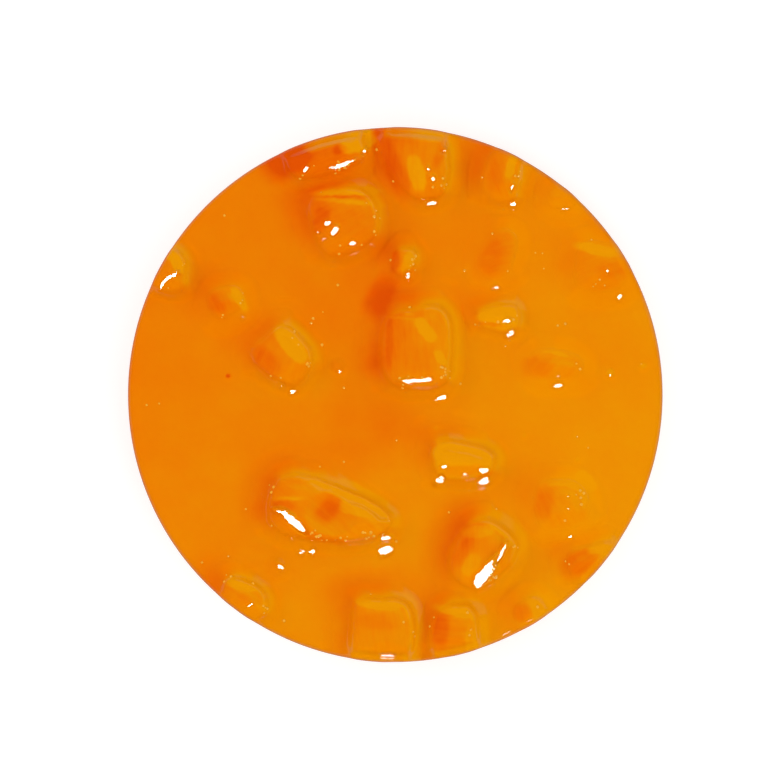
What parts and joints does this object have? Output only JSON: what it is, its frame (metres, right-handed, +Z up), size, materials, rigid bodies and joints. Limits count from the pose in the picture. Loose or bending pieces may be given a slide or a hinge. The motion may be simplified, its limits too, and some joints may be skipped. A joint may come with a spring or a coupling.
{
  "type": "round of apricot sauce with apricot pieces",
  "caption": "Free-standing flat round of thick, glossy apricot sauce with soft diced apricot pieces half sunk in it.",
  "frame": {"origin": "middle of the flat foot that the round stands on", "axes": "+Z up out of the sauce, +X to the right and +Y away as seen from above"},
  "size_m": [0.0802, 0.0802, 0.0133],
  "materials": {
    "sauce": "wet, glossy, translucent orange sauce",
    "apricot": "soft cooked apricot under a film of sauce"
  },
  "bodies": {
    "root": {"sauce": "sauce", "apricot_piece_01": "apricot", "apricot_piece_02": "apricot", "apricot_piece_03": "apricot", "apricot_piece_04": "apricot", "apricot_piece_05": "apricot", "apricot_piece_06": "apricot", "apricot_piece_07": "apricot", "apricot_piece_08": "apricot", "apricot_piece_09": "apricot", "apricot_piece_10": "apricot", "apricot_piece_11": "apricot", "apricot_piece_12": "apricot", "apricot_piece_13": "apricot", "apricot_piece_14": "apricot", "apricot_piece_15": "apricot", "apricot_piece_16": "apricot", "apricot_piece_17": "apricot", "apricot_piece_18": "apricot", "apricot_piece_19": "apricot", "apricot_piece_20": "apricot", "apricot_piece_21": "apricot", "apricot_piece_22": "apricot", "apricot_piece_23": "apricot"}
  },
  "joints": []
}
